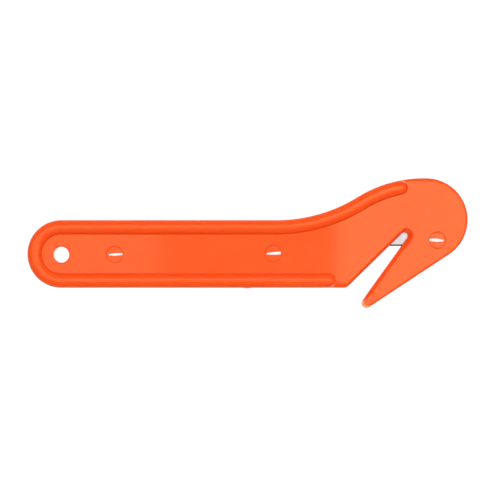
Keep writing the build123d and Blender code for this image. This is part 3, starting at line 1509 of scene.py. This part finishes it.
@dataclass(frozen=True)
class GroundSteel:
    """Strip steel, ground along its length, with a finely honed cutting edge.

    Args:
        colour: Its colour.
        oil_colour: Colour of the faint oil stains on it.
        roughness: Least and most roughness of the flat faces.
        hone_roughness: Roughness of the honed edge.
        hone_width: Height of the honed edge, in metres.
        groove_depth: Depth of the grinding lines, in metres.
        groove_size: Width of the grinding lines, in metres.
        stain_size: Size of the oil stains, in metres.
    """

    colour: tuple[float, float, float]
    oil_colour: tuple[float, float, float]
    roughness: tuple[float, float]
    hone_roughness: float
    hone_width: float
    groove_depth: float
    groove_size: float = 0.00008
    stain_size: float = 0.004

    def make(self, name: str, edge_y: float) -> bpy.types.Material:
        """Makes the material.

        Args:
            name: Its name.
            edge_y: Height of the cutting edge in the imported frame.

        Returns:
            The material.
        """
        recipe = Recipe(name)
        split = recipe.node("ShaderNodeSeparateXYZ")
        recipe.put(split, 0, recipe.place)
        honed = (edge_y + self.hone_width, edge_y + 1.15 * self.hone_width)
        face = recipe.remap(split.outputs["Y"], honed, (0.0, 1.0))
        lines = recipe.noise(self.groove_size, 3, (60, 1, 1))
        stains = recipe.remap(recipe.noise(self.stain_size, 4), (0.4, 0.75), (0.0, 0.6))
        gloss = recipe.remap(lines, (0.3, 0.7), self.roughness)
        more = recipe.plus(gloss, -self.hone_roughness)
        recipe.shade(
            Base_Color=recipe.blend(recipe.times(stains, face), self.colour, self.oil_colour),
            Metallic=1.0,
            Roughness=recipe.plus(recipe.times(more, face), self.hone_roughness),
            Normal=recipe.bump(lines, self.groove_depth),
        )
        return recipe.material


@dataclass(frozen=True)
class LightTable:
    """Pale table top that glows softly, most of all round the knife, with a faint unevenness.

    Args:
        colour: Its colour.
        glow: How brightly it glows round the knife.
        far_glow: How brightly it glows far away.
        pool: Distances from the middle between which the glow fades, in metres.
        cloud_size: Size of the unevenness, in metres.
    """

    colour: tuple[float, float, float]
    glow: float
    far_glow: float
    pool: tuple[float, float] = (0.16, 0.6)
    cloud_size: float = 0.3

    def make(self, name: str) -> bpy.types.Material:
        """Makes the material.

        Args:
            name: Its name.

        Returns:
            The material.
        """
        recipe = Recipe(name)
        mottle = recipe.remap(recipe.noise(self.cloud_size, 3), (0.3, 0.7), (0.0, 1.0))
        reach = recipe.node("ShaderNodeVectorMath", operation="LENGTH")
        recipe.put(reach, 0, recipe.place)
        fading = recipe.remap(reach.outputs["Value"], self.pool, (self.glow, self.far_glow))
        recipe.shade(
            Base_Color=recipe.blend(mottle, self.colour, tuple(0.985 * part for part in self.colour)),
            Roughness=0.7,
            Emission_Color=(1.0, 1.0, 1.0, 1.0),
            Emission_Strength=fading,
        )
        return recipe.material


@dataclass(frozen=True)
class Softbox:
    """A flat light that hangs over the table and faces down.

    Args:
        name: Its name.
        low: Corner with the least x and y, in metres from the middle of the knife.
        high: The opposite corner.
        hang: Its height over the table.
        glow: Its brightness, where 1 reads white.
    """

    name: str
    low: tuple[float, float]
    high: tuple[float, float]
    hang: float
    glow: float

    def hang_up(self) -> bpy.types.Object:
        """Makes the light.

        Returns:
            The light's object.
        """
        lamp = bpy.data.lights.new(self.name, "AREA")
        lamp.shape = "RECTANGLE"
        lamp.size = self.high[0] - self.low[0]
        lamp.size_y = self.high[1] - self.low[1]
        lamp.energy = self.glow * math.pi * lamp.size * lamp.size_y
        hung = bpy.data.objects.new(self.name, lamp)
        hung.location = (self.low[0] + lamp.size / 2, self.low[1] + lamp.size_y / 2, self.hang)
        bpy.context.scene.collection.objects.link(hung)
        return hung


@dataclass
class Studio:
    """Camera, table and soft lights.

    Args:
        aim: Place in the frame's plane that the camera looks at, in metres.
        distance: The camera's height over the front panel, in metres.
        view_width: Width of the view on the front panel, in metres.
        sensor: Width of the camera's sensor, in millimetres.
        table_half: Half the table's width, in metres.
        table_drop: Gap between the rear rim and the table, in metres.
        air_colour: Colour of the light that fills the room.
        air_glow: Its strength.
        softboxes: The lights.
    """

    aim: tuple[float, float] = (0.0009, -0.0026)
    distance: float = 1.05
    view_width: float = 0.1875
    sensor: float = 36.0
    table_half: float = 4.0
    table_drop: float = 0.00002
    air_colour: tuple[float, float, float, float] = (0.95, 0.97, 1.0, 1.0)
    air_glow: float = 0.2
    softboxes: tuple[Softbox, ...] = (
        Softbox("left_softbox", (-0.66, -0.24), (-0.058, 0.12), 0.75, 1.9),
        Softbox("right_softbox", (0.056, -0.24), (0.66, 0.12), 0.75, 3.7),
        Softbox("back_softbox", (-0.66, 0.13), (0.66, 0.33), 0.75, 5.0),
        Softbox("ceiling_light", (-0.3, -0.3), (0.3, 0.3), 1.3, 1.2),
        Softbox("strip_light", (-0.0106, -0.3), (0.0094, 0.3), 1.3, 1.2),
    )

    def place_camera(self, panel_z: float) -> None:
        """Hangs the camera over the knife, looking straight down.

        Args:
            panel_z: Height of the front panel, which the view's width is measured on.
        """
        lens = bpy.data.cameras.new("camera")
        lens.sensor_width = self.sensor
        lens.lens = self.sensor * self.distance / self.view_width
        camera = bpy.data.objects.new("camera", lens)
        camera.location = (*self.aim, panel_z + self.distance)
        bpy.context.scene.collection.objects.link(camera)
        bpy.context.scene.camera = camera

    def lay_table(self, finish: LightTable) -> None:
        """Lays the table top just under the knife.

        Args:
            finish: Its finish.
        """
        half, down = self.table_half, -self.table_drop
        corners = [(-half, -half, down), (half, -half, down), (half, half, down), (-half, half, down)]
        mesh = bpy.data.meshes.new("table")
        mesh.from_pydata(corners, [], [(0, 1, 2, 3)])
        table = bpy.data.objects.new("table", mesh)
        bpy.context.scene.collection.objects.link(table)
        paint(table, finish.make("table_top"))

    def light(self) -> None:
        """Hangs the softboxes and fills the room with a pale, even light."""
        for softbox in self.softboxes:
            softbox.hang_up()
        room = bpy.data.worlds.new("room")
        room.use_nodes = True
        air = room.node_tree.nodes["Background"]
        air.inputs["Color"].default_value = self.air_colour
        air.inputs["Strength"].default_value = self.air_glow
        bpy.context.scene.world = room
        bpy.context.scene.view_settings.view_transform = "Standard"


SHELL_PLASTIC = MouldedPlastic(
    colour=(0.96, 0.085, 0.011),
    flow_colour=(0.96, 0.0915, 0.013),
    rubbed_colour=(0.97, 0.12, 0.03),
    painted_glint_colour=(0.92, 0.42, 0.25),
    roughness=(0.06, 0.2),
    grain_depth=0.0000003,
    scratch_depth=0.0000004,
)
PIN_PLASTIC = MouldedPlastic(
    colour=(0.97, 0.088, 0.012),
    flow_colour=(0.97, 0.094, 0.014),
    rubbed_colour=(0.97, 0.12, 0.03),
    painted_glint_colour=(0.92, 0.42, 0.25),
    roughness=(0.14, 0.2),
    grain_depth=0.000003,
    scratch_depth=0.000005,
    front_size=0.0012,
)
BLADE_STEEL = GroundSteel(
    colour=(0.25, 0.238, 0.243),
    oil_colour=(0.215, 0.207, 0.209),
    roughness=(0.28, 0.4),
    hone_roughness=0.26,
    hone_width=0.0005,
    groove_depth=0.0000015,
)
TABLE_TOP = LightTable(colour=(0.12, 0.12, 0.12), glow=0.94, far_glow=0.55)


def main() -> None:
    """Builds the studio and the knife in order, and reports each piece."""
    logging.basicConfig(level=logging.INFO, format="%(message)s")
    datum = Datum.from_frame()
    studio = Studio()
    studio.place_camera((datum.parting + datum.panel) * MM)
    studio.lay_table(TABLE_TOP)
    studio.light()
    outline = SideOutline(datum.grip_r)
    section = Section(datum.crest, datum.panel)
    split_pins = SplitPins()
    pins = [datum.plan_of(node) for node in split_pins.nodes]
    blade_corners = [complex(corner.x, corner.y) / MM - datum.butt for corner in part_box("blade")]
    for side in Side:
        shell = Shell(side, datum, outline, section, pins, *blade_corners)
        skin = shell.build()
        shell.dress(skin, SHELL_PLASTIC)
        log.info("%s: %d faces", skin.name, len(skin.data.polygons))
    for pin in split_pins.dress(PIN_PLASTIC):
        log.info("%s: softened and dressed", pin.name)
    strip = Blade().dress(BLADE_STEEL)
    log.info("%s: softened and dressed", strip.name)


if __name__ == "__main__":
    main()
